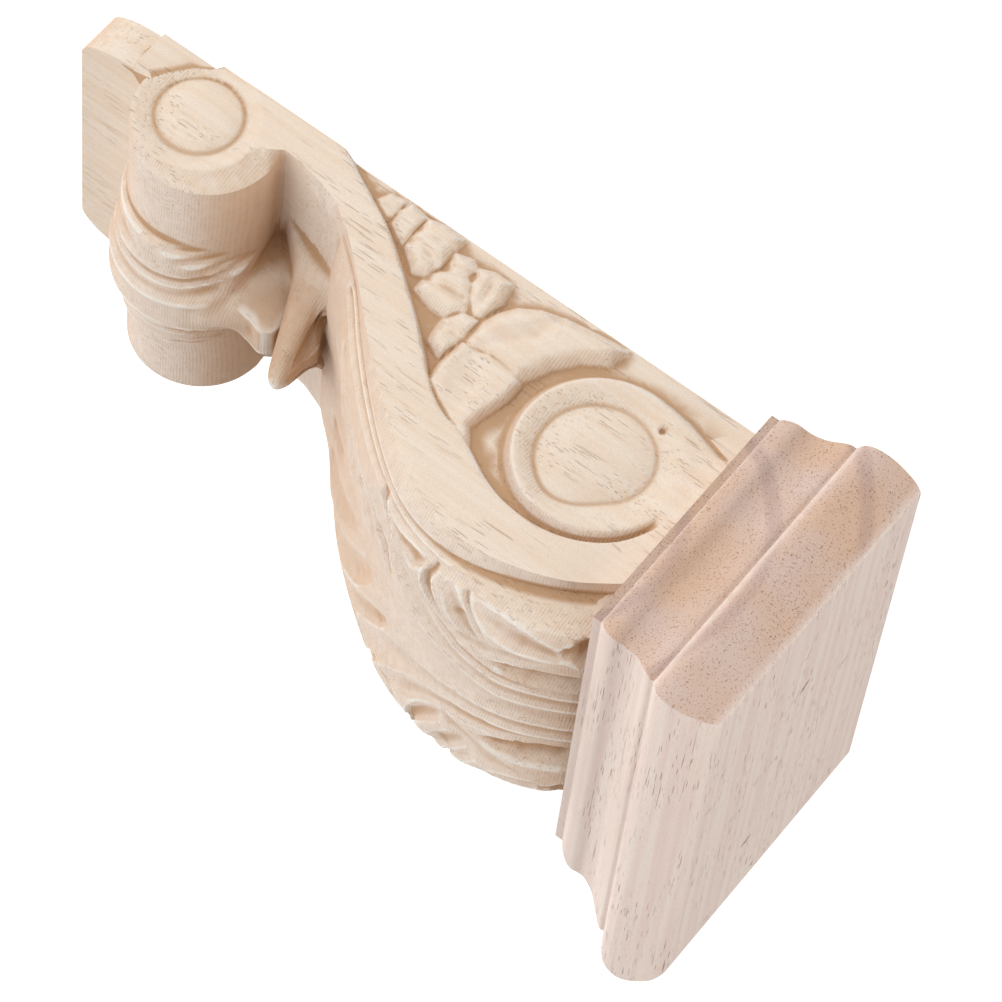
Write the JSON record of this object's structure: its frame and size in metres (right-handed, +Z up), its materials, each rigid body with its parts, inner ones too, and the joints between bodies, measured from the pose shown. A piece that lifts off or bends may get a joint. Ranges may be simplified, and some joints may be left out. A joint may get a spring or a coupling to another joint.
{
  "type": "corbel bracket",
  "caption": "Carved wooden corbel bracket: an S-scroll with an acanthus leaf, side volutes and husks under a moulded cap, fixed to a wall to carry a shelf or beam.",
  "frame": {"origin": "centre of the flat back face, where it bears on the wall", "axes": "+Z up, +Y into the wall, -Y to the front, +X to the right of a person facing the wall"},
  "size_m": [0.0996, 0.06, 0.17],
  "materials": {
    "body_wood": "bare machine-carved hardwood, unpainted, fine tool ripples on the slopes",
    "cap_wood": "bare planed hardwood, unpainted, pinkish end grain on its two ends"
  },
  "bodies": {
    "root": {"carved_body": "body_wood", "cap_board": "cap_wood"}
  },
  "joints": []
}
